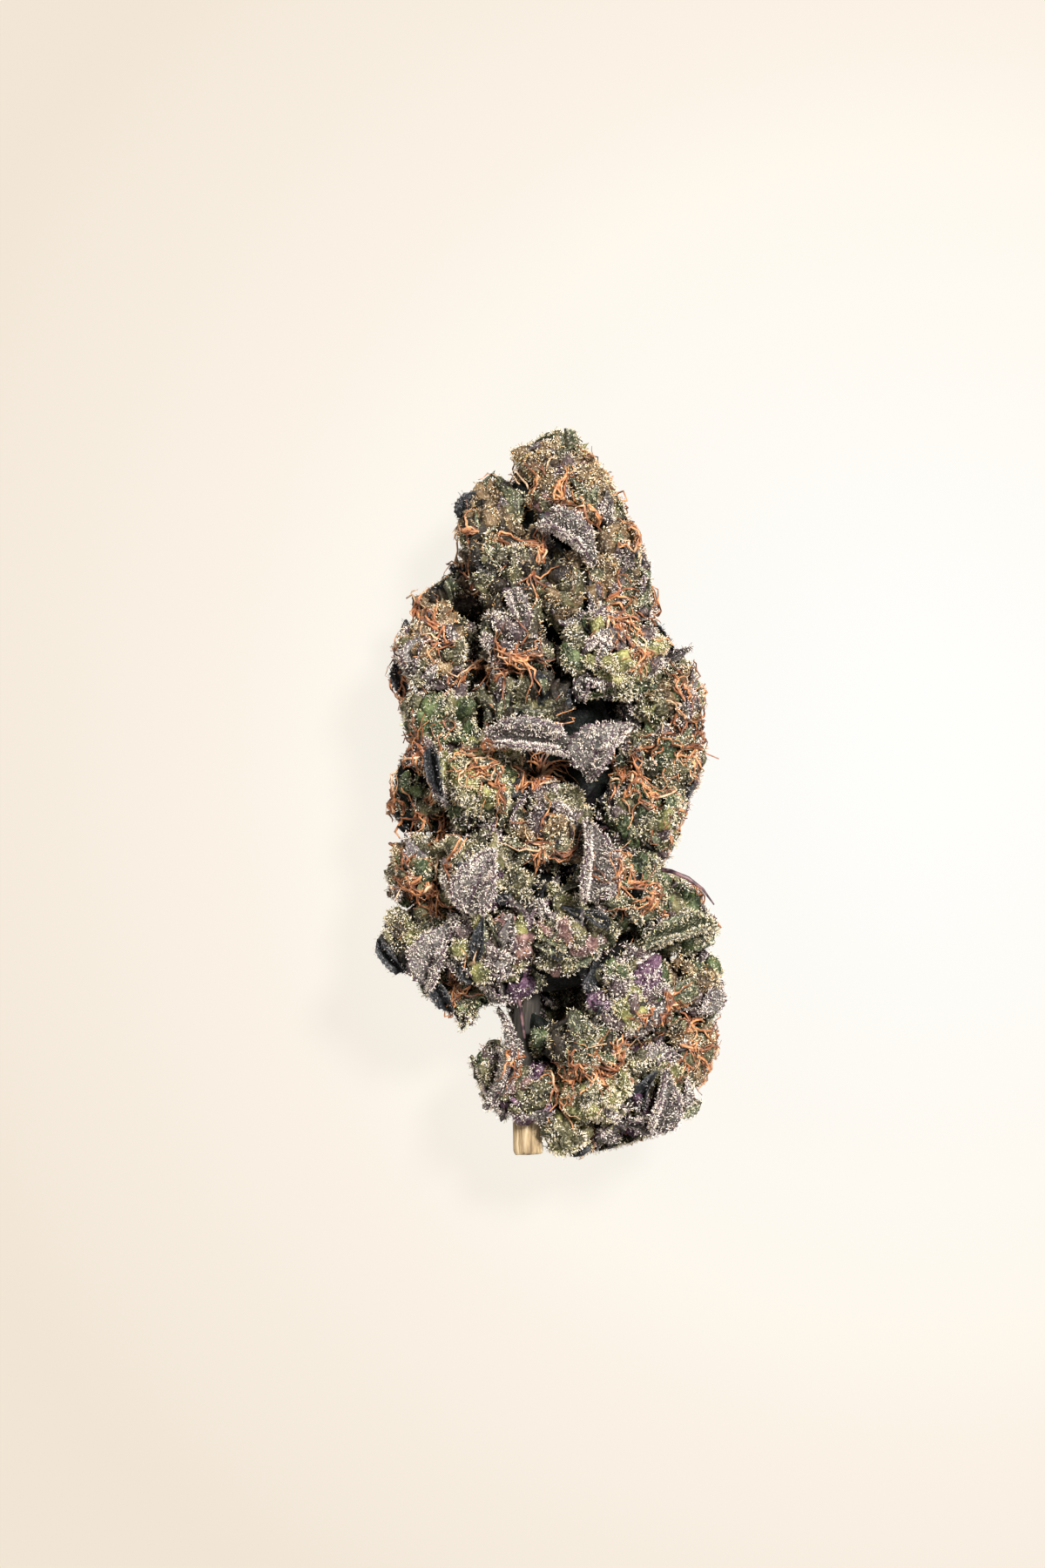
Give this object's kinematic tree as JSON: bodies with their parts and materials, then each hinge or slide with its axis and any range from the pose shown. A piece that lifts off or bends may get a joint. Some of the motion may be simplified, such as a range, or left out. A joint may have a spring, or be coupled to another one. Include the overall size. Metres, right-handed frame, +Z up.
{
  "type": "cannabis bud",
  "caption": "Dried, trimmed cannabis flower lying on its back: woody stem with twigs, frosted floret clusters, small folded sugar leaves and curled pistil tufts.",
  "frame": {"origin": "under the middle of the bud, on the surface that it lies on", "axes": "+Y from the cut end of the stem to the tip, +Z up from the surface, +X to the right seen from above with the tip away"},
  "size_m": [0.0258, 0.0552, 0.0211],
  "materials": {
    "stem": "dry, ribbed, matte",
    "bract": "matte leaf tissue under a pale crust of resin glands",
    "leaf": "matte, silver-mauve with dark purple veins, frosted",
    "pistil": "satin, dried orange-brown hairs"
  },
  "bodies": {
    "root": {"cluster_back_crown": "bract", "cluster_back_foot": "bract", "cluster_back_high_left": "bract", "cluster_back_high_right": "bract", "cluster_back_left": "bract", "cluster_back_low_left": "bract", "cluster_back_low_right": "bract", "cluster_back_right": "bract", "cluster_back_toe": "bract", "cluster_back_upper": "bract", "cluster_belly_front": "bract", "cluster_belly_left": "bract", "cluster_belly_right": "bract", "cluster_button": "bract", "cluster_crown_front": "bract", "cluster_crown_left": "bract", "cluster_crown_right": "bract", "cluster_flank_left": "bract", "cluster_foot_front": "bract", "cluster_foot_left": "bract", "cluster_foot_low": "bract", "cluster_foot_right": "bract", "cluster_heart": "bract", "cluster_heart_left": "bract", "cluster_heart_right": "bract", "cluster_hem_front_left": "bract", "cluster_hem_front_right": "bract", "cluster_hem_left": "bract", "cluster_hem_right": "bract", "cluster_high_right": "bract", "cluster_low_front": "bract", "cluster_low_front_left": "bract", "cluster_low_front_right": "bract", "cluster_low_left": "bract", "cluster_low_right": "bract", "cluster_shoulder_left": "bract", "cluster_shoulder_right": "bract", "cluster_tip": "bract", "cluster_toe": "bract", "cluster_toe_left": "bract", "cluster_toe_right": "bract", "cluster_upper_front": "bract", "cluster_upper_right": "bract", "cluster_waist_front": "bract", "cluster_waist_left": "bract", "cluster_waist_right": "bract", "leaf_blade_right": "leaf", "leaf_fan": "leaf", "leaf_hook_left": "leaf", "leaf_shelf": "leaf", "leaf_shield": "leaf", "leaf_sword": "leaf", "leaf_tongue_right": "leaf", "leaf_visor": "leaf", "leaf_wing_left": "leaf", "pistils_belly": "pistil", "pistils_crown": "pistil", "pistils_foot": "pistil", "pistils_shoulder": "pistil", "stem": "stem"}
  },
  "joints": []
}
